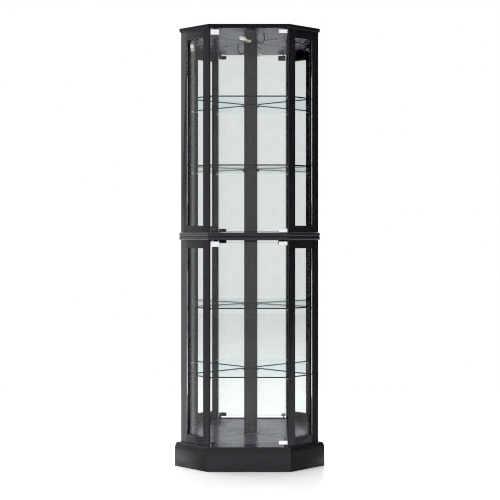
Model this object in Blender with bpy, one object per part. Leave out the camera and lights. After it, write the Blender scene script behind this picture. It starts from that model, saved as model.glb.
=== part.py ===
"""Five-sided corner display cabinet with two mirrored sections, each behind a frameless glass door.

Metres, +Z up. The front faces -Y, the right-angled back corner points to +Y, and the
origin is on the floor under the middle of the footprint.
"""

import math

import bmesh
import bpy
from mathutils import Matrix, Vector

# Driving dimensions of the case, a square against two walls with its front corner cut off.
WALL_SIDE = 0.400
RETURN_WIDTH = 0.172
HEIGHT = 1.800
PLINTH_HEIGHT = 0.098
BOARD = 0.018
GAP = 0.0003
SIDE_LIP = 0.010

# Levels of the horizontal boards.
BASE_BOARD_Z = (0.078, 0.094)
MIDDLE_BOARD_Z = (0.930, 0.960)
TOP_BOARD_Z = (1.784, HEIGHT)
OVERHANG = 0.009
BEAD_ROOT = 0.0055
COVE_ROOT = 0.004
COVE_HEIGHT = 0.006
RIM_ROUND = 0.002
PLINTH_MOULDING = (0.008, 0.028)
SECTIONS = {
    "lower": (BASE_BOARD_Z[1], MIDDLE_BOARD_Z[0]),
    "upper": (MIDDLE_BOARD_Z[1], TOP_BOARD_Z[0]),
}

# Side frames, their glass and the mirrored backs.
STILE = 0.036
RAILS = {"lower": (0.0390, 0.0331), "upper": (0.0287, 0.0350)}
FRONT_LAND = 0.0045
REBATE = 0.005
SIDE_GLASS = 0.004
BACK_PANEL = 0.005
MIRROR = 0.0032
POST_LEG = 0.048
POST_DEPTH = 0.0095
POST_CHAMFER = 0.0015

# Doors and their hardware.
DOOR_GLASS = 0.005
DOOR_HEIGHT = 0.8125
DOOR_SIDE_GAP = 0.002
DOOR_FACE = 0.003
DOOR_BOTTOMS = {"upper": 0.9640, "lower": 0.1097}
CLAMP_WIDTH = 0.0345
HINGE_CLAMPS = {"bottom": (0.020, 0.0105), "top": (CLAMP_WIDTH, 0.021)}
STRIKE_HEIGHT = 0.0150
CLAMP_WALL = 0.0027
CLAMP_CAP = 0.0025
HINGE_INSET = 0.009
HINGE_PIN = 0.0025
HINGE_HOLE = 0.0029
HINGE_DEPTH = 0.008
HINGE_PIN_ROOT = 0.001

# Push latches, one behind the outer end of each strike.
LATCH_FROM_EDGE = 0.0065
LATCH_WIDTH = 0.011
LATCH_DEPTH = 0.044
LATCH_HALF_HEIGHT = 0.006
PLUNGER_HEAD = 0.004
PLUNGER_HEAD_LENGTH = 0.004
PLUNGER_ROD = 0.003
PLUNGER_ROD_LENGTH = 0.026
PLUNGER_BORE = 0.0034
PLUNGER_BORE_DEPTH = 0.030
PLUNGER_NOSE = 0.0005
PUSH_IN = 0.0032

# Glass shelves on pins.
SHELF_THICKNESS = 0.005
SHELF_CLEARANCE = 0.003
SHELF_FRONT = 0.026
SHELF_LEVELS = {"lower": (0.3743, 0.6534), "upper": (1.2343, 1.5130)}
SHELF_PIN = 0.0035
SHELF_PIN_LENGTH = 0.009
PIN_ROOT = 0.004
STILE_PIN_AT = {"front": 0.020, "rear": 0.152}

# The lamp under the top board.
LAMP_CENTRE = (-0.0042, 0.139, 1.7573)
LAMP_AXIS = (-0.963, 0.0, 0.269)
SOCKET_RADIUS = 0.0120
SOCKET_LENGTH = 0.023
SOCKET_END_RADIUS = 0.0055
SOCKET_TAPER = 0.003
SOCKET_RIM = (0.0025, 0.007)
BULB_RADIUS = 0.0079
BULB_LENGTH = 0.030
BULB_DOME = 0.0085
BULB_NECK_RADIUS = 0.0055
BULB_NECK = (0.002, 0.006)
STRAP = (0.012, 0.0025)
STRAP_OVERLAP = 0.0045
STRAP_BELOW_AXIS = 0.004
STRAP_FOOT = 0.016
WIRE_RADIUS = 0.0021
WIRE_HOLE = 0.0027
WIRE_ROUTE = (
    (0.0075, 0.139, 1.7541),
    (0.0150, 0.1405, 1.7535),
    (0.0215, 0.1460, 1.7560),
    (0.0245, 0.1560, 1.7635),
    (0.0255, 0.1680, 1.7725),
    (0.0262, 0.1830, 1.7785),
    (0.0270, 0.1990, 1.7795),
    (0.0280, 0.2130, 1.7765),
    (0.0298, 0.2250, 1.7705),
    (0.0335, 0.2330, 1.7635),
    (0.0395, 0.2365, 1.7587),
    (0.0460, 0.2370, 1.7575),
    (0.0525, 0.2370, 1.7597),
    (0.0573, 0.2370, 1.7655),
    (0.0597, 0.2370, 1.7745),
    (0.0600, 0.2370, 1.7860),
    (0.0600, 0.2370, 1.7990),
)

# Cutters pass this far through the face they open.
CUT_THROUGH = 0.002

# The plan's corners: W is half the width, A half the door opening, S the returns' depth, D the back corner's.
HALF = math.sqrt(0.5)
W = WALL_SIDE * HALF
S = RETURN_WIDTH * HALF
A = W - S
D = W + S
PLAN_SHIFT = -(D + BOARD * math.sqrt(2) - BOARD) / 2


def clear_scene():
    for old in list(bpy.data.objects):
        bpy.data.objects.remove(old, do_unlink=True)


def material(name, colour, roughness, metallic=0.0, alpha=1.0):
    made = bpy.data.materials.new(name)
    made.use_nodes = True
    shader = made.node_tree.nodes["Principled BSDF"]
    shader.inputs["Base Color"].default_value = (*colour, 1.0)
    shader.inputs["Roughness"].default_value = roughness
    shader.inputs["Metallic"].default_value = metallic
    shader.inputs["Alpha"].default_value = alpha
    made.diffuse_color = (*colour, alpha)
    return made


def finish(name, mesh_builder, look, origin=(0.0, 0.0, 0.0)):
    """Turns a bmesh in plan coordinates into a named object whose origin is the given plan point."""
    shift = Matrix.Translation(-Vector(origin))
    bmesh.ops.transform(mesh_builder, matrix=shift, verts=mesh_builder.verts)
    bmesh.ops.recalc_face_normals(mesh_builder, faces=mesh_builder.faces)
    mesh = bpy.data.meshes.new(name)
    mesh_builder.to_mesh(mesh)
    mesh_builder.free()
    mesh.materials.append(look)
    made = bpy.data.objects.new(name, mesh)
    made.location = Vector(origin) + Vector((0.0, PLAN_SHIFT, 0.0))
    bpy.context.scene.collection.objects.link(made)
    return made


def ring_stack(rings):
    """A closed solid lofted through rings of equal point counts."""
    made = bmesh.new()
    levels = [[made.verts.new(point) for point in ring] for ring in rings]
    count = len(rings[0])
    for low, high in zip(levels, levels[1:]):
        for i in range(count):
            j = (i + 1) % count
            made.faces.new((low[i], low[j], high[j], high[i]))
    made.faces.new(list(reversed(levels[0])))
    made.faces.new(levels[-1])
    return made


def prism(points, z_low, z_high):
    return ring_stack([[(x, y, z) for x, y in points] for z in (z_low, z_high)])


def box(low, high):
    corners = [(low[0], low[1]), (high[0], low[1]), (high[0], high[1]), (low[0], high[1])]
    return prism(corners, low[2], high[2])


def outline(front, sides, back):
    """The case's plan, grown outwards by a distance on the front, the returns and the backs."""
    front_x = A + sides * math.sqrt(2) - front
    side_x = W + (sides + back) * HALF
    side_y = S + (back - sides) * HALF
    return [
        (-front_x, -front),
        (front_x, -front),
        (side_x, side_y),
        (0.0, D + back * math.sqrt(2)),
        (-side_x, side_y),
    ]


def layered(profile, plan):
    """A solid lofted from (offset, z) pairs, each ring being the plan grown by that offset."""
    return ring_stack([[(x, y, z) for x, y in plan(offset)] for offset, z in profile])


def arc(centre, radius_x, radius_z, start, end, steps):
    """Points of an ellipse arc, as (offset, z) pairs."""
    points = []
    for i in range(steps + 1):
        angle = math.radians(start + (end - start) * i / steps)
        points.append((centre[0] + radius_x * math.cos(angle), centre[1] + radius_z * math.sin(angle)))
    return points


# Local plan frames. A frame is (origin, along, inward); to_plan turns (p, q) into plan coordinates.
RETURN_RIGHT = (Vector((A, 0.0)), Vector((HALF, HALF)), Vector((-HALF, HALF)))
RETURN_LEFT = (Vector((-A, 0.0)), Vector((-HALF, HALF)), Vector((HALF, HALF)))
WALL_RIGHT = (Vector((0.0, D)), Vector((HALF, -HALF)), Vector((-HALF, -HALF)))
WALL_LEFT = (Vector((0.0, D)), Vector((-HALF, -HALF)), Vector((HALF, -HALF)))
SIDES = {"right": (RETURN_RIGHT, WALL_RIGHT, 1), "left": (RETURN_LEFT, WALL_LEFT, -1)}


def to_plan(frame, points):
    start, along, inward = frame
    placed = [start + along * p + inward * q for p, q in points]
    return [(point.x, point.y) for point in placed]


def flush_plan(offset):
    """The full plan with an overhang on the front and the returns only."""
    return outline(offset, offset, 0.0)


def notched_plan(offset):
    """The plan with an overhang, cut back along the walls for the back panels and round the post."""
    front_x, side_corner = outline(offset, offset, 0.0)[1:3]
    seat = BACK_PANEL + GAP
    ear = WALL_SIDE - SIDE_LIP
    leg = POST_LEG + GAP
    inner = [(ear, 0.0), (ear, seat), (leg, seat), (leg, POST_DEPTH + GAP)]
    right = [front_x, side_corner] + to_plan(WALL_RIGHT, inner)
    return right + [(-x, y) for x, y in reversed(right)]


def counter_clockwise(points):
    area = sum(x0 * y1 - x1 * y0 for (x0, y0), (x1, y1) in zip(points, points[1:] + points[:1]))
    return points if area > 0 else list(reversed(points))


def local_prism(frame, points, z_low, z_high):
    return prism(counter_clockwise(to_plan(frame, points)), z_low, z_high)


def turned(centre, axis, profile, segments=20):
    """A turned solid from (radius, along) pairs, closed flat at both ends."""
    direction = Vector(axis).normalized()
    turn = Vector((0.0, 0.0, 1.0)).rotation_difference(direction).to_matrix().to_4x4()
    rings = []
    for radius, along in profile:
        ring = []
        for i in range(segments):
            angle = 2 * math.pi * i / segments
            point = Vector((radius * math.cos(angle), radius * math.sin(angle), along))
            ring.append(Vector(centre) + turn @ point)
        rings.append(ring)
    return ring_stack(rings)


def cylinder(centre, axis, radius, start, end, segments=16):
    """A round bar along an axis through a centre, from start to end measured along it."""
    return turned(centre, axis, [(radius, start), (radius, end)], segments)


def helper(name, mesh_builder):
    """An object that only joins or cuts another and is left out of the result."""
    mesh = bpy.data.meshes.new(name)
    bmesh.ops.recalc_face_normals(mesh_builder, faces=mesh_builder.faces)
    mesh_builder.to_mesh(mesh)
    mesh_builder.free()
    made = bpy.data.objects.new(name, mesh)
    made.location = (0.0, PLAN_SHIFT, 0.0)
    made.hide_render = True
    made.display_type = "WIRE"
    bpy.context.scene.collection.objects.link(made)
    return made


def combine(target, operation, tool):
    made = target.modifiers.new(tool.name, "BOOLEAN")
    made.operation = operation
    made.object = tool
    made.solver = "EXACT"


def soften(target, width, segments=2):
    """Rounds the sharp edges of a solid."""
    made = target.modifiers.new("edges", "BEVEL")
    made.width = width
    made.segments = segments
    made.limit_method = "ANGLE"
    made.angle_limit = math.radians(40)
    made.use_clamp_overlap = True


def smooth_round(target, sharp=35):
    target.data.shade_smooth()
    target.data.set_sharp_from_angle(angle=math.radians(sharp))


BLACK_WOOD = material("black_wood", (0.035, 0.034, 0.036), 0.38)
BACK_BOARD = material("back_board", (0.050, 0.048, 0.047), 0.60)
SIDE_PANE = material("clear_glass", (0.80, 0.87, 0.85), 0.03, alpha=0.3)
DOOR_PANE = material("door_glass", (0.80, 0.87, 0.85), 0.03, alpha=0.3)
SHELF_GLASS = material("shelf_glass", (0.55, 0.72, 0.66), 0.04, alpha=0.35)
MIRROR_GLASS = material("mirror_glass", (0.88, 0.91, 0.90), 0.02, 1.0)
CHROME = material("chrome", (0.83, 0.83, 0.86), 0.10, 1.0)
BLACK_METAL = material("black_metal", (0.09, 0.09, 0.10), 0.35, 1.0)
BLACK_PLASTIC = material("black_plastic", (0.02, 0.02, 0.02), 0.45)
PLUNGER_PLASTIC = material("plunger_plastic", (0.03, 0.03, 0.03), 0.45)
WIRE_SHEATH = material("wire_sheath", (0.015, 0.015, 0.016), 0.55)
BRASS = material("brass", (0.72, 0.55, 0.28), 0.25, 1.0)
BULB_GLASS = material("bulb_glass", (0.97, 0.97, 0.95), 0.05, alpha=0.6)


def make_plinth():
    """Five mitred boards with a moulded top edge round the whole footprint."""
    width, height = PLINTH_MOULDING
    moulding = arc((BOARD - width, PLINTH_HEIGHT - height), width, height, 0, 90, 7)
    profile = [(GAP, 0.0), (BOARD, 0.0)] + moulding + [(GAP, PLINTH_HEIGHT)]
    pieces = ("front", "right_return", "right_back", "left_back", "left_return")
    corner_order = ((0, 1), (1, 2), (2, 3), (3, 4), (4, 0))
    for piece, (first, last) in zip(pieces, corner_order):
        rings = []
        for corner, step in ((first, 1), (last, -1)):
            ring = []
            for offset, z in profile:
                plan = [Vector(point) for point in outline(offset, offset, offset)]
                along = (plan[last] - plan[first]).normalized()
                point = plan[corner] + along * step * GAP / 2
                ring.append((point.x, point.y, z))
            rings.append(ring)
        finish(f"plinth_{piece}", ring_stack(rings), BLACK_WOOD)


def make_boards():
    """The base, middle and top boards; the middle one has two rounded beads on its edge."""
    low, high = BASE_BOARD_Z
    base = finish("base_board", layered([(-GAP, low), (-GAP, high)], lambda o: outline(o, o, o)), BLACK_WOOD)

    low, high = MIDDLE_BOARD_Z
    bead = (high - low) / 2
    profile = []
    for centre in (low + bead / 2, high - bead / 2):
        profile += arc((BEAD_ROOT, centre), OVERHANG - BEAD_ROOT, bead / 2, -82, 82, 6)
    profile = [(BEAD_ROOT, low)] + profile + [(BEAD_ROOT, high)]
    middle = finish("middle_board", layered(profile, notched_plan), BLACK_WOOD)

    low, high = TOP_BOARD_Z
    cove = arc((COVE_ROOT, low + COVE_HEIGHT), OVERHANG - COVE_ROOT, COVE_HEIGHT, -82, 0, 5)
    rim = arc((OVERHANG - RIM_ROUND, high - RIM_ROUND), RIM_ROUND, RIM_ROUND, 0, 90, 3)
    profile = [(COVE_ROOT, low)] + cove + rim
    top = finish("top_board", layered(profile, flush_plan), BLACK_WOOD)
    return {"base": base, "middle": middle, "top": top}


def drill(board, name, centre, radius, z_low, z_high):
    tool = helper(name, cylinder((centre[0], centre[1], 0.0), (0, 0, 1), radius, z_low, z_high, 20))
    combine(board, "DIFFERENCE", tool)


def front_stile_plan():
    """Right front stile: a narrow land facing the door, a reveal, and a rebate for the glass."""
    land = A - FRONT_LAND
    plain = [(A, 0.0), (land, 0.0), (land, BOARD * math.sqrt(2) - FRONT_LAND)]
    inner = [(STILE - REBATE, BOARD), (STILE - REBATE, SIDE_LIP), (STILE, SIDE_LIP), (STILE, 0.0)]
    return plain + to_plan(RETURN_RIGHT, inner)


def rear_stile_plan():
    """Right rear stile: rebates for the side glass and for the mirror with its backing panel."""
    start = RETURN_WIDTH - STILE
    stack = RETURN_WIDTH - BACK_PANEL - MIRROR - 3 * GAP
    points = [
        (start, 0.0),
        (RETURN_WIDTH, 0.0),
        (RETURN_WIDTH, SIDE_LIP),
        (stack, SIDE_LIP),
        (stack, BOARD),
        (start + REBATE, BOARD),
        (start + REBATE, SIDE_LIP),
        (start, SIDE_LIP),
    ]
    return to_plan(RETURN_RIGHT, points)


def mirrored(points, sign):
    return [(sign * x, y) for x, y in points]


def add_shelf_pins(target, foot, direction, section):
    """Pins under a section's shelves, standing out of the face that holds the foot point."""
    start = foot - direction * PIN_ROOT
    length = SHELF_PIN_LENGTH + PIN_ROOT
    for number, level in enumerate(SHELF_LEVELS[section], 1):
        z = level - SHELF_THICKNESS / 2 - GAP - SHELF_PIN
        pin = cylinder((start.x, start.y, z), (direction.x, direction.y, 0), SHELF_PIN, 0, length, 12)
        combine(target, "UNION", helper(f"{target.name}_{section}_pin_{number}", pin))


def make_side_frames():
    """Two stiles and two rails on each return of each section, with a pane in their rebate."""
    for section, (z_floor, z_ceiling) in SECTIONS.items():
        low, high = z_floor + GAP, z_ceiling - GAP
        sill, head = z_floor + RAILS[section][0], z_ceiling - RAILS[section][1]
        for side, (frame, _, sign) in SIDES.items():
            for place, plan in (("front", front_stile_plan()), ("rear", rear_stile_plan())):
                name = f"{section}_{side}_{place}_stile"
                points = counter_clockwise(mirrored(plan, sign))
                stile = finish(name, prism(points, low, high), BLACK_WOOD)
                start, along, inward = frame
                foot = start + along * STILE_PIN_AT[place] + inward * BOARD
                add_shelf_pins(stile, foot, inward, section)
            make_rail(f"{section}_{side}_bottom_rail", frame, low, sill, sill - REBATE, True)
            make_rail(f"{section}_{side}_top_rail", frame, head, high, head + REBATE, False)
            edge = REBATE - GAP
            ends = (STILE - edge, RETURN_WIDTH - STILE + edge)
            faces = (SIDE_LIP + GAP, SIDE_LIP + GAP + SIDE_GLASS)
            pane = [(ends[0], faces[0]), (ends[1], faces[0]), (ends[1], faces[1]), (ends[0], faces[1])]
            made = local_prism(frame, pane, sill - edge, head + edge)
            finish(f"{section}_{side}_side_glass", made, SIDE_PANE)


def make_rail(name, frame, low, high, rebate_z, rebate_on_top):
    """A rail between the stiles whose inner half is cut back for the glass."""
    if rebate_on_top:
        inner_side = [(SIDE_LIP, high), (SIDE_LIP, rebate_z), (BOARD, rebate_z), (BOARD, low)]
    else:
        inner_side = [(BOARD, high), (BOARD, rebate_z), (SIDE_LIP, rebate_z), (SIDE_LIP, low)]
    section = [(0.0, low), (0.0, high)] + inner_side
    rings = []
    for p in (STILE + GAP, RETURN_WIDTH - STILE - GAP):
        plan = to_plan(frame, [(p, q) for q, _ in section])
        rings.append([(x, y, z) for (x, y), (_, z) in zip(plan, section)])
    finish(name, ring_stack(rings), BLACK_WOOD)


def make_post():
    """The full-height corner post, flat at the front, with a pin under each shelf."""
    leg = [
        (POST_LEG, 0.0),
        (POST_LEG, POST_DEPTH - POST_CHAMFER),
        (POST_LEG - POST_CHAMFER, POST_DEPTH),
    ]
    right = [(0.0, D)] + to_plan(WALL_RIGHT, leg)
    left = [(-x, y) for x, y in reversed(right[1:])]
    low, high = BASE_BOARD_Z[1] + GAP, TOP_BOARD_Z[0] - GAP
    post = finish("corner_post", prism(counter_clockwise(right + left), low, high), BLACK_WOOD)
    face = right[-1][1]
    for section in SHELF_LEVELS:
        add_shelf_pins(post, Vector((0.0, face)), Vector((0.0, -1.0)), section)
    return face


def make_backs():
    """A full-height backing panel on each wall, and a mirror before it in each section."""
    span = (POST_LEG + GAP, WALL_SIDE - SIDE_LIP - GAP)
    for side, (_, wall, _) in SIDES.items():
        panel = [(span[0], 0.0), (span[1], 0.0), (span[1], BACK_PANEL), (span[0], BACK_PANEL)]
        low, high = BASE_BOARD_Z[1] + GAP, TOP_BOARD_Z[0] - GAP
        finish(f"{side}_back_panel", local_prism(wall, panel, low, high), BACK_BOARD)
        face = BACK_PANEL + GAP
        pane = [(span[0], face), (span[1], face), (span[1], face + MIRROR), (span[0], face + MIRROR)]
        for section, (z_floor, z_ceiling) in SECTIONS.items():
            made = local_prism(wall, pane, z_floor + 2 * GAP, z_ceiling - 2 * GAP)
            finish(f"{section}_{side}_mirror", made, MIRROR_GLASS)


def make_shelves(post_face):
    """Glass shelves cut to the room between the returns, the mirrors and the post."""
    side = BOARD + SHELF_CLEARANCE
    back = BACK_PANEL + GAP + MIRROR + SHELF_CLEARANCE
    front = (A - side * math.sqrt(2) + SHELF_FRONT, SHELF_FRONT)
    corner = ((D - back * math.sqrt(2) + A - side * math.sqrt(2)) / 2, 0.0)
    corner = (corner[0], corner[0] - A + side * math.sqrt(2))
    cut_y = post_face - SHELF_CLEARANCE
    cut = (D - back * math.sqrt(2) - cut_y, cut_y)
    right = [front, corner, cut]
    plan = right + [(-x, y) for x, y in reversed(right)]
    for section, levels in SHELF_LEVELS.items():
        for number, level in enumerate(levels, 1):
            half = SHELF_THICKNESS / 2
            shelf = finish(f"{section}_shelf_{number}", prism(plan, level - half, level + half), SHELF_GLASS)
            soften(shelf, 0.0006, 1)


def clamp(name, low_x, high_x, glass_edge, height, up, origin, look):
    """A folded metal clamp over the glass edge, closed above it (up = 1) or below it (up = -1)."""
    front = DOOR_FACE - GAP - CLAMP_WALL
    back = DOOR_FACE + DOOR_GLASS + GAP + CLAMP_WALL
    open_end = glass_edge + up * (CLAMP_CAP - height)
    closed_end = glass_edge + up * CLAMP_CAP
    slot_end = glass_edge + up * GAP
    section = [
        (front, open_end),
        (front, closed_end),
        (back, closed_end),
        (back, open_end),
        (back - CLAMP_WALL, open_end),
        (back - CLAMP_WALL, slot_end),
        (front + CLAMP_WALL, slot_end),
        (front + CLAMP_WALL, open_end),
    ]
    rings = [[(x, y, z) for y, z in section] for x in (low_x, high_x)]
    made = finish(name, ring_stack(rings), look, origin)
    soften(made, 0.0005, 2)
    return made


def make_doors(boards):
    """Frameless glass doors on pivot clamps at the left, with strikes at the right."""
    edge = A - FRONT_LAND - DOOR_SIDE_GAP
    axis_x = HINGE_INSET - edge
    axis_y = DOOR_FACE + DOOR_GLASS / 2
    neighbours = {"lower": ("base", "middle"), "upper": ("middle", "top")}
    for section, bottom in DOOR_BOTTOMS.items():
        origin = (axis_x, axis_y, bottom)
        top = bottom + DOOR_HEIGHT
        pane = box((-edge, DOOR_FACE, bottom), (edge, DOOR_FACE + DOOR_GLASS, top))
        glass = finish(f"{section}_door_glass", pane, DOOR_PANE, origin)
        soften(glass, 0.0008, 1)
        z_floor, z_ceiling = SECTIONS[section]
        for place, level, up in (("bottom", bottom, -1), ("top", top, 1)):
            name = f"{section}_{place}_hinge_clamp"
            look = CHROME if up > 0 else BLACK_METAL
            width, height = HINGE_CLAMPS[place]
            hinge = clamp(name, -edge, -edge + width, level, height, up, origin, look)
            cap = level + up * CLAMP_CAP
            board_face = z_ceiling if up > 0 else z_floor
            end = board_face + up * (HINGE_DEPTH - 2 * GAP)
            span = sorted((cap - up * HINGE_PIN_ROOT, end))
            pin = cylinder((axis_x, axis_y, 0.0), (0, 0, 1), HINGE_PIN, span[0], span[1])
            combine(hinge, "UNION", helper(f"{name}_pin", pin))
            hole = sorted((board_face - up * CUT_THROUGH, board_face + up * HINGE_DEPTH))
            board = boards[neighbours[section][up > 0]]
            drill(board, f"{name}_hole", (axis_x, axis_y), HINGE_HOLE, hole[0], hole[1])
            strike = f"{section}_{place}_strike"
            clamp(strike, edge - CLAMP_WIDTH, edge, level, STRIKE_HEIGHT, up, origin, CHROME)
            make_latch(f"{section}_{place}", edge - LATCH_FROM_EDGE, level, board_face, up)


def make_latch(name, x, glass_edge, board_face, up):
    """A push latch: a housing fixed to the board and a magnet plunger behind the strike."""
    z = glass_edge + up * (CLAMP_CAP - STRIKE_HEIGHT / 2)
    strike_back = DOOR_FACE + DOOR_GLASS + GAP + CLAMP_WALL
    face = strike_back + GAP
    head_back = face + PLUNGER_HEAD_LENGTH
    profile = [
        (PLUNGER_HEAD - PLUNGER_NOSE, 0.0),
        (PLUNGER_HEAD, PLUNGER_NOSE),
        (PLUNGER_HEAD, PLUNGER_HEAD_LENGTH),
        (PLUNGER_ROD, PLUNGER_HEAD_LENGTH),
        (PLUNGER_ROD, PLUNGER_HEAD_LENGTH + PLUNGER_ROD_LENGTH),
    ]
    place = (x, face, z)
    plunger = finish(f"{name}_latch_plunger", turned(place, (0, 1, 0), profile), PLUNGER_PLASTIC, place)
    smooth_round(plunger)
    housing_face = head_back + PUSH_IN
    ends = sorted((z - up * LATCH_HALF_HEIGHT, board_face - up * GAP))
    low = (x - LATCH_WIDTH / 2, housing_face, ends[0])
    high = (x + LATCH_WIDTH / 2, housing_face + LATCH_DEPTH, ends[1])
    housing = finish(f"{name}_latch_housing", box(low, high), BLACK_PLASTIC)
    bore = cylinder((x, housing_face, z), (0, 1, 0), PLUNGER_BORE, -CUT_THROUGH, PLUNGER_BORE_DEPTH, 20)
    combine(housing, "DIFFERENCE", helper(f"{name}_latch_bore", bore))


def make_lamp(boards):
    """A small bulb in a brass socket on a strap, with its wire looped up through the top board."""
    half = SOCKET_LENGTH / 2
    rim_step, rim_length = SOCKET_RIM
    shell = SOCKET_RADIUS - rim_step
    profile = [
        (SOCKET_END_RADIUS, -half),
        (shell, SOCKET_TAPER - half),
        (shell, half - rim_length - rim_step),
        (SOCKET_RADIUS, half - rim_length),
        (SOCKET_RADIUS, half),
    ]
    socket = finish("lamp_socket", turned(LAMP_CENTRE, LAMP_AXIS, profile, 24), BRASS)
    smooth_round(socket)
    width, thickness = STRAP
    x, y, z = LAMP_CENTRE
    left, right = x - width / 2, x + width / 2
    front = y + SOCKET_RADIUS - STRAP_OVERLAP
    ceiling = TOP_BOARD_Z[0] - GAP
    strap = box((left, front, z - STRAP_BELOW_AXIS), (right, front + thickness, ceiling))
    foot = box((left, front, ceiling - thickness), (right, front + STRAP_FOOT, ceiling))
    combine(socket, "UNION", helper("lamp_strap", strap))
    combine(socket, "UNION", helper("lamp_strap_foot", foot))

    base = half + GAP
    neck, shoulder = BULB_NECK
    round_end = arc((0.0, base + BULB_LENGTH - BULB_DOME), BULB_RADIUS, BULB_DOME, 0, 78, 6)
    profile = [(BULB_NECK_RADIUS, base), (BULB_NECK_RADIUS, base + neck), (BULB_RADIUS, base + shoulder)]
    bulb = finish("lamp_bulb", turned(LAMP_CENTRE, LAMP_AXIS, profile + round_end, 24), BULB_GLASS)
    smooth_round(bulb, 60)

    make_wire()
    low, high = TOP_BOARD_Z[0] - CUT_THROUGH, HEIGHT + CUT_THROUGH
    drill(boards["top"], "lamp_wire_hole", WIRE_ROUTE[-1][:2], WIRE_HOLE, low, high)


def smooth_route(points, steps):
    """A Catmull-Rom curve through the points."""
    ends = [2 * points[0] - points[1]] + points + [2 * points[-1] - points[-2]]
    route = []
    for before, first, last, after in zip(ends, ends[1:], ends[2:], ends[3:]):
        for i in range(steps):
            t = i / steps
            bend = 2 * before - 5 * first + 4 * last - after
            turn = 3 * first - before - 3 * last + after
            route.append(0.5 * (2 * first + (last - before) * t + bend * t * t + turn * t ** 3))
    return route + [points[-1]]


def make_wire():
    route = smooth_route([Vector(point) for point in WIRE_ROUTE], 4)
    curve = bpy.data.curves.new("lamp_wire", "CURVE")
    curve.dimensions = "3D"
    curve.bevel_depth = WIRE_RADIUS
    curve.bevel_resolution = 2
    curve.use_fill_caps = True
    spline = curve.splines.new("POLY")
    spline.points.add(len(route) - 1)
    for point, place in zip(spline.points, route):
        point.co = (place.x, place.y, place.z, 1.0)
    curve.materials.append(WIRE_SHEATH)
    wire = bpy.data.objects.new("lamp_wire", curve)
    wire.location = (0.0, PLAN_SHIFT, 0.0)
    bpy.context.scene.collection.objects.link(wire)


def main():
    clear_scene()
    make_plinth()
    boards = make_boards()
    make_side_frames()
    post_face = make_post()
    make_backs()
    make_shelves(post_face)
    make_doors(boards)
    make_lamp(boards)


main()
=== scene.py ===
"""Looks for the corner curio cabinet: black lacquered wood, clear panes, mirrors, chrome and brass."""

import math

import bmesh
import bpy
from mathutils import Matrix, Vector


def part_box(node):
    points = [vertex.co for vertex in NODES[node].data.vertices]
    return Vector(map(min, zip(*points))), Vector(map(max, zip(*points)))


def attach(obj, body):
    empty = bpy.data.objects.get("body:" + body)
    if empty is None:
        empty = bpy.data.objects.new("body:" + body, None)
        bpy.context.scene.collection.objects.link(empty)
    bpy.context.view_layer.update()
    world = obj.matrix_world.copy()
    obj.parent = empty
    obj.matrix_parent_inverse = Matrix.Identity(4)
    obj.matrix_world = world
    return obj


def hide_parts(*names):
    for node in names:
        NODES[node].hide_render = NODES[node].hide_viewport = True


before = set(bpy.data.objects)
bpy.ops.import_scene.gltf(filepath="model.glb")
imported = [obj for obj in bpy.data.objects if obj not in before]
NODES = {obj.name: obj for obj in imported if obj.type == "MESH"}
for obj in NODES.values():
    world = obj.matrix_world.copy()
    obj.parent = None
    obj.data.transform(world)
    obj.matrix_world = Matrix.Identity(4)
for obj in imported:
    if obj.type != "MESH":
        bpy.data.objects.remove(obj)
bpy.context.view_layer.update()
SECTIONS = ("lower", "upper")
SIDES = ("left", "right")
ENDS = ("bottom", "top")
ROOT = "case"


# Places read from the frame.

def low(node):
    return Vector(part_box(node)[0])


def high(node):
    return Vector(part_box(node)[1])


def middle(node):
    return (low(node) + high(node)) / 2


FRONT_Y = low("upper_left_front_stile").y
FLOOR_Z = low("plinth_front").z


# Node helpers.

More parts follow.
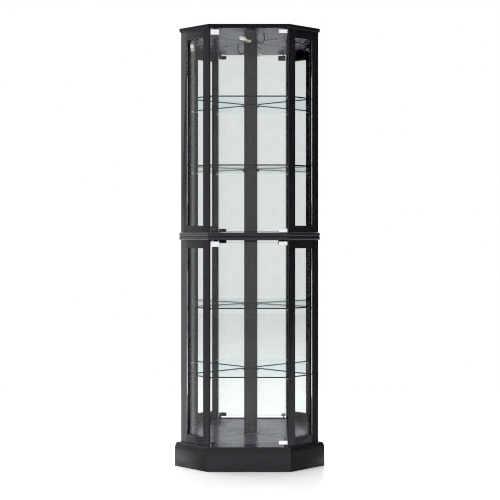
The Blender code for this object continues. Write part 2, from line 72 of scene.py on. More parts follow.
class Nodes:
    """A short way to build a material's tree."""

    def __init__(self, name):
        self.material = bpy.data.materials.new(name)
        self.material.use_nodes = True
        self.tree = self.material.node_tree
        self.tree.nodes.clear()
        self.output = self.add("ShaderNodeOutputMaterial")

    def add(self, kind, **settings):
        node = self.tree.nodes.new(kind)
        for key, value in settings.items():
            setattr(node, key, value)
        return node

    def link(self, source, target):
        self.tree.links.new(source, target)

    def coordinates(self, scale=(1, 1, 1), turn=0.0):
        """Object coordinates, turned about Z by an angle in degrees and then scaled."""
        place = self.add("ShaderNodeTexCoord").outputs["Object"]
        if turn:
            rotate = self.add("ShaderNodeVectorRotate", rotation_type="Z_AXIS")
            rotate.inputs["Angle"].default_value = math.radians(turn)
            self.link(place, rotate.inputs["Vector"])
            place = rotate.outputs["Vector"]
        mapping = self.add("ShaderNodeMapping")
        mapping.inputs["Scale"].default_value = scale
        self.link(place, mapping.inputs["Vector"])
        return mapping.outputs["Vector"]

    def noise(self, vector, scale, detail=3.0, roughness=0.5, distortion=0.0):
        node = self.add("ShaderNodeTexNoise")
        node.inputs["Scale"].default_value = scale
        node.inputs["Detail"].default_value = detail
        node.inputs["Roughness"].default_value = roughness
        node.inputs["Distortion"].default_value = distortion
        self.link(vector, node.inputs["Vector"])
        return node.outputs["Fac"]

    def span(self, value, start, end, low_value, high_value):
        node = self.add("ShaderNodeMapRange")
        node.inputs["From Min"].default_value = start
        node.inputs["From Max"].default_value = end
        node.inputs["To Min"].default_value = low_value
        node.inputs["To Max"].default_value = high_value
        self.link(value, node.inputs["Value"])
        return node.outputs["Result"]

    def blend(self, factor, first, second):
        """A colour between two colours, which may be sockets."""
        node = self.add("ShaderNodeMix", data_type="RGBA")
        self.link(factor, node.inputs[0])
        for socket, colour in ((node.inputs[6], first), (node.inputs[7], second)):
            if isinstance(colour, tuple):
                socket.default_value = (*colour, 1.0)
            else:
                self.link(colour, socket)
        return node.outputs[2]

    def maths(self, operation, first, second):
        node = self.add("ShaderNodeMath", operation=operation)
        for socket, value in zip(node.inputs, (first, second)):
            if isinstance(value, (int, float)):
                socket.default_value = value
            else:
                self.link(value, socket)
        return node.outputs[0]

    def bump(self, height, strength, distance):
        node = self.add("ShaderNodeBump")
        node.inputs["Strength"].default_value = strength
        node.inputs["Distance"].default_value = distance
        self.link(height, node.inputs["Height"])
        return node.outputs["Normal"]

    def local_normal(self):
        """The direction of the face in the object's own axes."""
        return self.add("ShaderNodeTexCoord").outputs["Normal"]

    def backfacing(self):
        return self.add("ShaderNodeNewGeometry").outputs["Backfacing"]

    def edge_wear(self):
        """1 on sharp convex edges, broken up by noise, and 0 on flat faces."""
        pointed = self.add("ShaderNodeNewGeometry").outputs["Pointiness"]
        spots = self.noise(self.coordinates(), 60, 3)
        edge = self.span(pointed, 0.52, 0.60, 0, 1)
        return self.maths("MULTIPLY", edge, self.span(spots, 0.35, 0.65, 0.2, 1))

    def mix_shaders(self, factor, first, second):
        node = self.add("ShaderNodeMixShader")
        for socket, source in zip(node.inputs, (factor, first, second)):
            self.link(source, socket)
        return node.outputs[0]

    def principled(self, **values):
        node = self.add("ShaderNodeBsdfPrincipled")
        for key, value in values.items():
            name = key.replace("_", " ").title().replace("Ior", "IOR")
            socket = node.inputs[name]
            if isinstance(value, bpy.types.NodeSocket):
                self.link(value, socket)
            elif isinstance(value, tuple) and len(value) == 3 and socket.type == "RGBA":
                socket.default_value = (*value, 1.0)
            else:
                socket.default_value = value
        return node

    def finish(self, shader):
        self.link(shader, self.output.inputs["Surface"])
        return self.material


# Materials.

LACQUER = (0.0052, 0.0050, 0.0060)
LACQUER_DEEP = (0.0085, 0.0080, 0.0095)
LACQUER_WORN = (0.020, 0.019, 0.022)
# Painted reflection: violet colours for the inside faces that point up or down, standing in for the
# lavender light these black boards reflect at a grazing angle.
LACQUER_PAINTED_REFLECTION = (0.022, 0.014, 0.036)
LACQUER_PAINTED_REFLECTION_DEEP = (0.031, 0.021, 0.048)
GRAIN_STRETCH = 0.055
GRAIN_RELIEF = 0.04
LACQUER_SHINE = (0.93, 0.92, 1.0)
BOARD_SHINE = (0.88, 0.85, 1.0)


def lacquered_wood(name, along, turn=0.0, ior=1.36, shine=LACQUER_SHINE, sheen=0.24, inner=0, worn=0.55):
    """Black satin lacquer over wood whose fine grain runs along an axis, x or z, after a turn about Z.

    inner is 1 or -1 where the face that points up or down is an inside face, whose colour gets a painted
    violet reflection, and worn is how far sharp edges are rubbed lighter."""
    nodes = Nodes(name)
    scale = (GRAIN_STRETCH, 1, 1) if along == "x" else (1, 1, GRAIN_STRETCH)
    stretched = nodes.coordinates(scale, turn)
    even = nodes.coordinates()
    pores = nodes.noise(stretched, 900, 4, 0.62)
    figure = nodes.noise(stretched, 170, 5, 0.6, 0.15)
    clouds = nodes.noise(even, 7, 2)
    dust = nodes.noise(even, 1500, 2)
    tint = nodes.blend(nodes.span(figure, 0.35, 0.75, 0, 1), LACQUER, LACQUER_DEEP)
    wear = nodes.span(nodes.edge_wear(), 0.0, 1.0, 0, worn)
    colour = nodes.blend(wear, tint, LACQUER_WORN)
    # Painted reflection: a violet tint in the colour of the inside faces that point up or down, for the
    # lavender they reflect at a grazing angle.
    if inner:
        facing = nodes.add("ShaderNodeSeparateXYZ")
        nodes.link(nodes.local_normal(), facing.inputs[0])
        upright = nodes.maths("MULTIPLY", facing.outputs["Z"], inner)
        painted_reflection = nodes.blend(nodes.span(figure, 0.35, 0.75, 0, 1), LACQUER_PAINTED_REFLECTION, LACQUER_PAINTED_REFLECTION_DEEP)
        colour = nodes.blend(nodes.span(upright, 0.85, 0.95, 0, 1), colour, painted_reflection)
    uneven = nodes.span(figure, 0.3, 0.7, -0.03, 0.04)
    rough = nodes.maths("ADD", nodes.span(clouds, 0.3, 0.7, 0.20, 0.28), uneven)
    ripple = nodes.span(figure, 0.3, 0.7, 0, 0.12)
    height = nodes.maths("ADD", nodes.span(pores, 0.3, 0.7, 0, 0.6), ripple)
    height = nodes.maths("ADD", height, nodes.span(dust, 0.4, 0.6, 0, 0.05))
    shader = nodes.principled(
        base_color=colour,
        roughness=rough,
        specular_tint=shine,
        ior=ior,
        sheen_weight=sheen,
        sheen_roughness=0.30,
        sheen_tint=(0.56, 0.52, 1.0),
        normal=nodes.bump(height, GRAIN_RELIEF, 0.0003),
    )
    return nodes.finish(shader.outputs[0])


def pane_shader(nodes, tint, ior, smear_scale, normal_strength=0.02):
    """Clear glass as a thin pane: it passes light straight on and mirrors a share by its angle."""
    place = nodes.coordinates()
    smears = nodes.noise(place, smear_scale, 4, 0.55, 0.4)
    waves = nodes.noise(place, 3.5, 1)
    through = nodes.add("ShaderNodeBsdfTransparent")
    cleaner = tuple(min(1.0, value * 1.012) for value in tint)
    nodes.link(nodes.blend(nodes.span(smears, 0.3, 0.7, 0, 1), tint, cleaner), through.inputs["Color"])
    gloss = nodes.add("ShaderNodeBsdfGlossy")
    nodes.link(nodes.span(smears, 0.45, 0.8, 0.0, 0.06), gloss.inputs["Roughness"])
    nodes.link(nodes.bump(waves, normal_strength, 0.001), gloss.inputs["Normal"])
    # The same share at both faces, since light passes straight through this pane.
    fresnel = nodes.add("ShaderNodeFresnel")
    nodes.link(nodes.span(nodes.backfacing(), 0, 1, ior, 1 / ior), fresnel.inputs["IOR"])
    return nodes.mix_shaders(fresnel.outputs[0], through.outputs[0], gloss.outputs[0])


def glass_pane(name, tint, edge_tint, flat_axis, ior=1.38):
    """A pane whose broad faces are clear and whose ground edges are dark green.

    flat_axis is the broad faces' direction in plan, or Z for a shelf."""
    nodes = Nodes(name)
    clear = pane_shader(nodes, tint, ior, 22)
    facing = nodes.add("ShaderNodeVectorMath", operation="DOT_PRODUCT")
    nodes.link(nodes.local_normal(), facing.inputs[0])
    facing.inputs[1].default_value = flat_axis
    broad = nodes.span(nodes.maths("ABSOLUTE", facing.outputs["Value"], 0.0), 0.85, 0.95, 0, 1)
    # An edge shows its dark green only from outside the pane.
    broad = nodes.maths("MAXIMUM", broad, nodes.backfacing())
    ground = nodes.noise(nodes.coordinates(), 700, 3)
    lighter = tuple(value * 1.7 for value in edge_tint)
    shade = nodes.blend(nodes.span(ground, 0.35, 0.65, 0, 1), edge_tint, lighter)
    edge = nodes.principled(
        base_color=shade,
        roughness=nodes.span(ground, 0.3, 0.7, 0.12, 0.30),
        ior=1.2,
        normal=nodes.bump(ground, 0.15, 0.0002),
    )
    return nodes.finish(nodes.mix_shaders(broad, edge.outputs[0], clear))


def mirror_glass(name):
    """Silvered glass, very slightly green, with a barely uneven surface."""
    nodes = Nodes(name)
    place = nodes.coordinates()
    waves = nodes.noise(place, 2.2, 1)
    haze = nodes.noise(place, 30, 4, 0.6)
    cloudy = nodes.span(haze, 0.3, 0.7, 0, 1)
    colour = nodes.blend(cloudy, (0.925, 0.940, 0.938), (0.940, 0.952, 0.951))
    shader = nodes.principled(
        base_color=colour,
        metallic=1.0,
        roughness=nodes.span(haze, 0.5, 0.9, 0.0, 0.03),
        normal=nodes.bump(waves, 0.01, 0.001),
    )
    return nodes.finish(shader.outputs[0])


def metal(name, colour, rough, brushed=0.0, along="x", tarnish=None, back=None):
    """Polished or brushed metal with fine scratches and a slight tarnish.

    back is the colour of the faces that point to the cabinet's back, where it differs."""
    nodes = Nodes(name)
    scale = {"x": (0.04, 1, 1), "y": (1, 0.04, 1), "z": (1, 1, 0.04)}[along]
    hairlines = nodes.noise(nodes.coordinates(scale), 2600, 3, 0.6)
    stains = nodes.noise(nodes.coordinates(), 260, 4, 0.6)
    dull = tarnish or tuple(value * 0.86 for value in colour)
    tint = nodes.blend(nodes.span(stains, 0.45, 0.8, 0, 1), colour, dull)
    if back:
        facing = nodes.add("ShaderNodeSeparateXYZ")
        nodes.link(nodes.local_normal(), facing.inputs[0])
        tint = nodes.blend(nodes.span(facing.outputs["Y"], 0.5, 0.8, 0, 1), tint, back)
    spread = nodes.span(stains, 0.3, 0.7, rough * 0.8, rough * 1.35)
    shader = nodes.principled(
        base_color=tint,
        metallic=1.0,
        roughness=nodes.maths("ADD", spread, nodes.span(hairlines, 0.3, 0.7, 0, 0.10 * brushed + 0.01)),
        normal=nodes.bump(hairlines, 0.03 + 0.25 * brushed, 0.0001),
    )
    return nodes.finish(shader.outputs[0])


def moulded_plastic(name, colour, rough):
    """Fine-textured moulded plastic or rubber."""
    nodes = Nodes(name)
    place = nodes.coordinates()
    texture = nodes.noise(place, 2400, 2)
    flow = nodes.noise(place, 45, 3)
    lighter = tuple(value * 1.5 + 0.003 for value in colour)
    shader = nodes.principled(
        base_color=nodes.blend(nodes.span(flow, 0.35, 0.7, 0, 1), colour, lighter),
        roughness=nodes.span(flow, 0.3, 0.7, rough * 0.85, rough * 1.15),
        normal=nodes.bump(texture, 0.25, 0.0002),
    )
    return nodes.finish(shader.outputs[0])


def painted_board(name):
    """Hardboard with a thin black coat, its fibres just showing."""
    nodes = Nodes(name)
    fibres = nodes.noise(nodes.coordinates(), 650, 5, 0.7, 1.2)
    clouds = nodes.noise(nodes.coordinates(), 6, 3)
    fuzz = nodes.span(fibres, 0.35, 0.7, 0, 1)
    shade = nodes.blend(fuzz, (0.020, 0.019, 0.018), (0.045, 0.040, 0.036))
    shader = nodes.principled(
        base_color=shade,
        roughness=nodes.span(clouds, 0.3, 0.7, 0.55, 0.72),
        normal=nodes.bump(fibres, 0.35, 0.0004),
    )
    return nodes.finish(shader.outputs[0])


def brass_with_black_strap(name, centre, axis, reach):
    """Brass near the lamp's axis and black enamel on the strap that holds it."""
    nodes = Nodes(name)
    place = nodes.add("ShaderNodeNewGeometry").outputs["Position"]
    away = nodes.add("ShaderNodeVectorMath", operation="SUBTRACT")
    nodes.link(place, away.inputs[0])
    away.inputs[1].default_value = centre
    sweep = nodes.add("ShaderNodeVectorMath", operation="CROSS_PRODUCT")
    nodes.link(away.outputs["Vector"], sweep.inputs[0])
    sweep.inputs[1].default_value = axis
    distance = nodes.add("ShaderNodeVectorMath", operation="LENGTH")
    nodes.link(sweep.outputs["Vector"], distance.inputs[0])
    strap = nodes.span(distance.outputs["Value"], reach, reach + 0.0004, 0, 1)
    spots = nodes.noise(nodes.coordinates(), 420, 4, 0.6)
    brass = nodes.blend(nodes.span(spots, 0.4, 0.75, 0, 1), (0.66, 0.56, 0.40), (0.30, 0.23, 0.13))
    shine = nodes.span(spots, 0.3, 0.7, 0.12, 0.22)
    shader = nodes.principled(
        base_color=nodes.blend(strap, brass, (0.010, 0.010, 0.011)),
        metallic=nodes.span(strap, 0, 1, 1, 0),
        roughness=nodes.maths("ADD", shine, nodes.span(strap, 0, 1, 0, 0.2)),
        normal=nodes.bump(spots, 0.06, 0.0002),
    )
    return nodes.finish(shader.outputs[0])


def bulb_glass(name):
    """Glossy warm bulb glass, a little cloudy, with a faint glow."""
    nodes = Nodes(name)
    frost = nodes.noise(nodes.coordinates(), 1800, 2)
    swirl = nodes.span(nodes.noise(nodes.coordinates(), 90, 3, 0.5, 0.5), 0.35, 0.65, 0, 1)
    shader = nodes.principled(
        base_color=nodes.blend(swirl, (0.62, 0.62, 0.54), (0.86, 0.87, 0.79)),
        roughness=nodes.span(frost, 0.3, 0.7, 0.05, 0.12),
        normal=nodes.bump(frost, 0.05, 0.0001),
        coat_weight=1.0,
        coat_roughness=0.03,
        emission_color=(1.0, 0.98, 0.88),
        emission_strength=0.30,
    )
    return nodes.finish(shader.outputs[0])


WOOD_TALL = lacquered_wood("lacquer_vertical_grain", "z")
STILE_FRONT = lacquered_wood("front_stile_grain", "z", 0.0, 1.24)
STILE_DARK = lacquered_wood("dark_stile_grain", "z", 0.0, 1.15, sheen=0.12)
STILE_REAR = lacquered_wood("rear_stile_grain", "z", 0.0, 1.43)
WOOD_POST = lacquered_wood("corner_post_grain", "z", 0.0, 1.47)
# The base board's top and the top board's underside get the painted violet reflection in their colour.
WOOD_LONG = lacquered_wood("lacquer_long_grain_painted_reflection", "x", 0.0, 1.38, BOARD_SHINE, inner=1)
WOOD_TOP = lacquered_wood("top_board_grain_painted_reflection", "x", 0.0, 1.17, BOARD_SHINE, 0.02, -1, 0.15)
WOOD_MIDDLE = lacquered_wood("middle_board_grain", "x", 0.0, 1.46, BOARD_SHINE)
WOOD_PLINTH = lacquered_wood("plinth_front_grain", "x", 0.0, 1.38)
PLINTH_RIGHT = lacquered_wood("plinth_right_grain", "x", -45, 1.20)
PLINTH_LEFT = lacquered_wood("plinth_left_grain", "x", 45, 1.23)
WOOD_RIGHT = lacquered_wood("lacquer_right_return_grain", "x", -45)
WOOD_LEFT = lacquered_wood("lacquer_left_return_grain", "x", 45, 1.31)
BACK_BOARD = painted_board("painted_hardboard")
DOOR_GLASS = glass_pane("door_glass_pane", (0.970, 0.978, 0.976), (0.010, 0.024, 0.020), (0, 1, 0))
HALF = math.sqrt(0.5)
RIGHT_PANE_AXIS = (HALF, -HALF, 0)
LEFT_PANE_AXIS = (HALF, HALF, 0)
SIDE_TINT = (0.972, 0.980, 0.979)
SIDE_EDGE = (0.012, 0.026, 0.022)
DIMMER_TINT = (0.948, 0.956, 0.955)
LEFT_PANE = glass_pane("left_side_pane", SIDE_TINT, SIDE_EDGE, LEFT_PANE_AXIS)
SIDE_GLASS = {
    "lower_right": glass_pane("lower_right_side_pane", SIDE_TINT, SIDE_EDGE, RIGHT_PANE_AXIS, 1.32),
    "upper_right": glass_pane("upper_right_side_pane", DIMMER_TINT, SIDE_EDGE, RIGHT_PANE_AXIS, 1.1),
    "lower_left": LEFT_PANE,
    "upper_left": LEFT_PANE,
}
SHELF_GLASS = glass_pane("shelf_pane", (0.955, 0.997, 0.992), (0.001, 0.006, 0.005), (0, 0, 1), 1.02)
MIRROR = mirror_glass("silvered_mirror")
CHROME_TINT = (0.95, 0.95, 0.985)
CHROME = metal("polished_chrome", CHROME_TINT, 0.07)
# Painted shade: the faces of the top clamps and the strikes that point to the cabinet's back are
# coloured near black, for the dark they show from the shaded inside.
CHROME_PAINTED_SHADE_BACK = metal("polished_chrome_painted_shade_back", CHROME_TINT, 0.07, back=(0.030, 0.030, 0.032))
STEEL = metal("brushed_steel_pin", (0.62, 0.63, 0.64), 0.22, 0.5, "z")
BLACK_METAL = metal("black_metal_bright_back", (0.035, 0.035, 0.037), 0.22, back=(0.80, 0.80, 0.82))
BRASS = metal("polished_brass", (0.70, 0.60, 0.43), 0.17, 0.3, "z", (0.32, 0.25, 0.14))
BLACK_PLASTIC = moulded_plastic("black_moulded_plastic", (0.012, 0.012, 0.013), 0.42)
CLEAR_PAD = moulded_plastic("hinge_pad_nylon", (0.20, 0.21, 0.21), 0.35)
SHEATH = moulded_plastic("wire_sheath_rubber", (0.006, 0.006, 0.007), 0.50)
BULB = bulb_glass("warm_bulb_glass")
LAMP_DEPTH = 0.139
LAMP_AXIS = Vector((-0.963, 0.0, 0.269)).normalized()
LAMP_CENTRE = Vector((-0.0042, FRONT_Y + LAMP_DEPTH, 1.7573))
SOCKET = brass_with_black_strap("brass_socket_black_strap", LAMP_CENTRE, LAMP_AXIS, 0.0123)


def paint(node, look):
    slots = NODES[node].material_slots
    for index in range(len(slots)):
        slots[index].link = "OBJECT"
        slots[index].material = look


def paint_frame_nodes():
    paint("plinth_front", WOOD_PLINTH)
    paint("base_board", WOOD_LONG)
    paint("middle_board", WOOD_MIDDLE)
    paint("top_board", WOOD_TOP)
    for side, look, plinth, back in (
        ("right", WOOD_RIGHT, PLINTH_RIGHT, PLINTH_LEFT),
        ("left", WOOD_LEFT, PLINTH_LEFT, PLINTH_RIGHT),
    ):
        paint(f"plinth_{side}_return", plinth)
        paint(f"plinth_{side}_back", back)
        paint(f"{side}_back_panel", BACK_BOARD)
        for section in SECTIONS:
            paint(f"{section}_{side}_front_stile", STILE_FRONT if side == "left" else WOOD_TALL)
            paint(f"{section}_{side}_rear_stile", STILE_REAR if side == "left" else STILE_DARK)
            paint(f"{section}_{side}_bottom_rail", look)
            paint(f"{section}_{side}_top_rail", look)
            paint(f"{section}_{side}_side_glass", SIDE_GLASS[f"{section}_{side}"])
            paint(f"{section}_{side}_mirror", MIRROR)
    paint("corner_post", WOOD_POST)
    for section in SECTIONS:
        for number in (1, 2):
            paint(f"{section}_shelf_{number}", SHELF_GLASS)
        paint(f"{section}_door_glass", DOOR_GLASS)
        for end in ENDS:
            paint(f"{section}_{end}_hinge_clamp", CHROME_PAINTED_SHADE_BACK if end == "top" else BLACK_METAL)
            paint(f"{section}_{end}_strike", CHROME_PAINTED_SHADE_BACK)
            paint(f"{section}_{end}_latch_housing", BLACK_PLASTIC)
            paint(f"{section}_{end}_latch_plunger", BLACK_PLASTIC)
    paint("lamp_socket", SOCKET)
    paint("lamp_bulb", BULB)


def soften_wood():
    """Small rounded arrises on every wooden piece, so that its edges catch the light."""
    members = [name for name in NODES if name.endswith(("_rail", "_stile"))]
    boards = ["top_board", "middle_board", "base_board", "corner_post"]
    boards += [name for name in NODES if name.startswith("plinth_")]
    for name in members + boards:
        weld = NODES[name].modifiers.new("weld", "WELD")
        weld.merge_threshold = 0.00002
        edges = NODES[name].modifiers.new("arris", "BEVEL")
        edges.width = 0.0007
        edges.segments = 2
        edges.limit_method = "ANGLE"
        edges.angle_limit = math.radians(40)
        edges.use_clamp_overlap = True


# Shapes for the small fittings.

def around(centre, axis):
    """A placement whose Z runs along an axis."""
    return Matrix.Translation(centre) @ Vector(axis).to_track_quat("Z", "Y").to_matrix().to_4x4()


def polygon_outline(radius, sides):
    """The corners of a regular polygon in plan."""
    angles = [2 * math.pi * i / sides for i in range(sides)]
    return [(radius * math.cos(angle), radius * math.sin(angle)) for angle in angles]


def lathe(mesh, profile, place, segments=24):
    """A turned shape from (radius, height) points; a radius of 0 closes an end on the axis."""
    rings = []
    for radius, height in profile:
        if radius == 0:
            rings.append([mesh.verts.new(place @ Vector((0, 0, height)))])
            continue
        circle = polygon_outline(radius, segments)
        rings.append([mesh.verts.new(place @ Vector((x, y, height))) for x, y in circle])
    for first, last in zip(rings, rings[1:]):
        for i in range(segments):
            j = (i + 1) % segments
            if len(first) == 1:
                mesh.faces.new((first[0], last[j], last[i]))
            elif len(last) == 1:
                mesh.faces.new((first[i], first[j], last[0]))
            else:
                mesh.faces.new((first[i], first[j], last[j], last[i]))


def washer(mesh, inner, outer, thickness, place, segments=28):
    """A flat ring with softened rims."""
    rim = min(0.0003, thickness / 3)
    section = [
        (inner, 0.0),
        (outer, 0.0),
        (outer, thickness - rim),
        (outer - rim, thickness),
        (inner + rim, thickness),
        (inner, thickness - rim),
        (inner, 0.0),
    ]
    lathe(mesh, section, place, segments)


def block(mesh, centre, size, soft=0.0003, turn=0.0):
    """A block with rounded arrises, turned about Z by an angle in radians."""
    place = Matrix.Translation(centre) @ Matrix.Rotation(turn, 4, "Z") @ Matrix.Diagonal((*size, 1))
    made = bmesh.ops.create_cube(mesh, size=1.0, matrix=place)["verts"]
    edges = {edge for vert in made for edge in vert.link_edges}
    bmesh.ops.bevel(mesh, geom=list(edges), offset=soft, segments=2, profile=0.5, affect="EDGES")


def cross_outline(arm, half_slot):
    """The outline of a cross-shaped driver recess."""
    quarter = [(arm, -half_slot), (arm, half_slot), (half_slot, half_slot)]
    points = []
    for turn in range(4):
        for x, y in quarter:
            for _ in range(turn):
                x, y = -y, x
            points.append((x, y))
    return points


def screw_head(mesh, radius, height, outline, depth, place, segments=20):
    """A domed screw head with a driver recess sunk in its top."""
    top = radius * 0.78
    profile = [(radius, 0.0), (radius, height * 0.45), (radius * 0.93, height * 0.8), (top, height)]
    lathe(mesh, profile, place, segments)
    rim = [mesh.verts.new(place @ Vector((x, y, height))) for x, y in polygon_outline(top, segments)]
    mouth = [mesh.verts.new(place @ Vector((x, y, height))) for x, y in outline]
    bottom = [mesh.verts.new(place @ Vector((x, y, height - depth))) for x, y in outline]
    loops = []
    for ring in (rim, mouth):
        loops += [mesh.edges.new((ring[i], ring[(i + 1) % len(ring)])) for i in range(len(ring))]
    bmesh.ops.triangle_fill(mesh, edges=loops, use_beauty=True)
    for i in range(len(mouth)):
        j = (i + 1) % len(mouth)
        mesh.faces.new((mouth[i], mouth[j], bottom[j], bottom[i]))
    mesh.faces.new(bottom)


def phillips(mesh, radius, place):
    """A pan-head screw with a cross recess."""
    recess = cross_outline(radius * 0.5, radius * 0.12)
    screw_head(mesh, radius, radius * 0.55, recess, radius * 0.35, place)


def set_screw(mesh, radius, place):
    """A low screw with a hexagon socket."""
    screw_head(mesh, radius, 0.0006, polygon_outline(radius * 0.5, 6), 0.0005, place)


def piece(name, mesh, look, body, smooth=35):
    """The mesh as an object that rides on a body."""
    bmesh.ops.remove_doubles(mesh, verts=mesh.verts, dist=0.000001)
    bmesh.ops.recalc_face_normals(mesh, faces=mesh.faces)
    data = bpy.data.meshes.new(name)
    mesh.to_mesh(data)
    mesh.free()
    data.materials.append(look)
    data.shade_smooth()
    data.set_sharp_from_angle(angle=math.radians(smooth))
    made = bpy.data.objects.new(name, data)
    bpy.context.scene.collection.objects.link(made)
    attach(made, body)
    return made


# Directions in plan. A side pane runs along its return, and its inward side faces the cabinet's inside.

ALONG = {"right": Vector((HALF, HALF, 0)), "left": Vector((-HALF, HALF, 0))}
INWARD = {"right": Vector((-HALF, HALF, 0)), "left": Vector((HALF, HALF, 0))}
WALL_OUT = {"right": Vector((HALF, HALF, 0)), "left": Vector((-HALF, HALF, 0))}
WALL_ALONG = {"right": Vector((HALF, -HALF, 0)), "left": Vector((-HALF, -HALF, 0))}
UP = Vector((0, 0, 1))


def panel_length(node, thickness):
    """The length in plan of an upright panel that stands at 45 degrees."""
    return (high(node).x - low(node).x) / HALF - thickness


SIDE_PANE = 0.004
BACK_PANEL = 0.005
PIN_FROM_PANE = 0.066
STILE_FACE_FROM_PANE = 0.0057
PIN_DROP = 0.0038
PIN_LENGTH = 0.009


def pin_sleeve(mesh, foot, outward):
    """A nickel sleeve over a shelf pin, with a collar against the wood."""
    profile = [
        (0.0049, 0.0),
        (0.0049, 0.0009),
        (0.0046, 0.0012),
        (0.0037, 0.0012),
        (0.0037, PIN_LENGTH - 0.0004),
        (0.0033, PIN_LENGTH + 0.0002),
        (0.0, PIN_LENGTH + 0.0003),
    ]
    lathe(mesh, profile, around(foot, outward), 20)


def add_shelf_pins():
    post_face = low("corner_post").y + PIN_LENGTH
    for section in SECTIONS:
        mesh = bmesh.new()
        post = bmesh.new()
        for number in (1, 2):
            z = low(f"{section}_shelf_{number}").z - PIN_DROP
            for side in SIDES:
                pane = middle(f"{section}_{side}_side_glass")
                for sign in (-1, 1):
                    foot = pane + ALONG[side] * PIN_FROM_PANE * sign
                    foot += INWARD[side] * STILE_FACE_FROM_PANE
                    pin_sleeve(mesh, Vector((foot.x, foot.y, z)), INWARD[side])
            pin_sleeve(post, Vector((0, post_face, z)), Vector((0, -1, 0)))
        piece(f"{section}_shelf_pins", mesh, STEEL, ROOT)
        piece(f"{section}_post_pins", post, BLACK_PLASTIC, ROOT)


BEAD_WIDTH = 0.0046
BEAD_DEPTH = 0.0034
BEAD_SECTION = (
    (0.0, 0.0002),
    (0.0, BEAD_DEPTH),
    (0.0018, BEAD_DEPTH),
    (0.0033, BEAD_DEPTH - 0.0007),
    (0.0043, BEAD_DEPTH - 0.0019),
    (BEAD_WIDTH, 0.0002),
)
BRAD_STEP = 0.13
BRAD_FROM_REBATE = 0.0011
BRAD_HEAD = ((0.0008, 0), (0.0008, 0.0001), (0.0005, 0.0002), (0, 0.0002))


def add_glazing_beads():
    """Mitred quarter-round beads that hold each side pane in its frame, with small brads."""
    for section in SECTIONS:
        for side in SIDES:
            node = f"{section}_{side}_side_glass"
            centre = middle(node)
            half = panel_length(node, SIDE_PANE) / 2
            tall = (high(node).z - low(node).z) / 2
            mesh = bmesh.new()
            corners = []
            for across, rise in ((-1, -1), (1, -1), (1, 1), (-1, 1)):
                ring = []
                for inset, depth in BEAD_SECTION:
                    place = centre + ALONG[side] * across * (half - inset) + UP * rise * (tall - inset)
                    ring.append(mesh.verts.new(place + INWARD[side] * (SIDE_PANE / 2 + depth)))
                corners.append(ring)
            count = len(BEAD_SECTION)
            for i in range(4):
                first = corners[i]
                last = corners[(i + 1) % 4]
                for j in range(count):
                    k = (j + 1) % count
                    mesh.faces.new((first[j], last[j], last[k], first[k]))
            piece(f"{section}_{side}_glazing_bead", mesh, WOOD_TALL, ROOT, 50)

            mesh = bmesh.new()
            steps = round(2 * tall / BRAD_STEP)
            for across in (-1, 1):
                for i in range(steps):
                    rise = (i + 0.5) / steps * 2 - 1
                    place = centre + ALONG[side] * across * (half - BRAD_FROM_REBATE) + UP * rise * tall
                    foot = place + INWARD[side] * (SIDE_PANE / 2 + BEAD_DEPTH)
                    lathe(mesh, BRAD_HEAD, around(foot, INWARD[side]), 10)
            piece(f"{section}_{side}_brads", mesh, STEEL, ROOT)


STRIP = (0.0046, 0.00035)
STRIP_INSET = 0.0047
STRIP_SETBACK = 0.0097


def add_reveal_strips():
    """A narrow polished strip down the rear reveal of each side opening, just inside its front edge."""
    for section in SECTIONS:
        for side in SIDES:
            node = f"{section}_{side}_side_glass"
            half = panel_length(node, SIDE_PANE) / 2
            tall = high(node).z - low(node).z - 2 * STRIP_INSET - 0.0006
            reveal = middle(node) + ALONG[side] * (half - STRIP_INSET - STRIP[1] / 2 - 0.00005)
            centre = reveal - INWARD[side] * STRIP_SETBACK
            mesh = bmesh.new()
            turn = math.radians(45 if side == "right" else 135)
            block(mesh, centre, (STRIP[1], STRIP[0], tall), 0.0001, turn)
            piece(f"{section}_{side}_reveal_strip", mesh, CHROME, ROOT)


PAD_THICKNESS = 0.00022
PAD_PROUD = 0.0006
PAD_AIR = 0.00003
SET_SCREW_RADIUS = 0.0024
SET_SCREW_PLACES = (0.28, 0.72)


def add_clamp_fittings():
    """Set screws behind each hinge clamp, and thin pads between the metal and the glass at each clamp
    and strike.
    """
    for section in SECTIONS:
        pane = f"{section}_door_glass"
        screws = bmesh.new()
        pads = bmesh.new()
        for end in ENDS:
            for kind in ("hinge_clamp", "strike"):
                node = f"{section}_{end}_{kind}"
                a = low(node)
                b = high(node)
                edge = low(pane).z if end == "bottom" else high(pane).z
                into = 1 if end == "bottom" else -1
                mouth = b.z if end == "bottom" else a.z
                mid_z = (edge + mouth) / 2
                if kind == "hinge_clamp":
                    for part in SET_SCREW_PLACES:
                        foot = Vector((a.x + (b.x - a.x) * part, b.y - 0.0001, mid_z))
                        set_screw(screws, SET_SCREW_RADIUS, around(foot, (0, 1, 0)))
                reach = abs(mouth - edge) + PAD_PROUD
                off = PAD_THICKNESS / 2 + PAD_AIR
                for y in (low(pane).y - off, high(pane).y + off):
                    centre = Vector(((a.x + b.x) / 2, y, edge + into * reach / 2))
                    size = (b.x - a.x - 0.001, PAD_THICKNESS, reach)
                    block(pads, centre, size, 0.00005)
        piece(f"{section}_clamp_screws", screws, STEEL, f"{section}_door")
        piece(f"{section}_clamp_pads", pads, CLEAR_PAD, f"{section}_door")


HINGE_INSET = 0.009
BUSH = (0.0030, 0.0050, 0.0008)


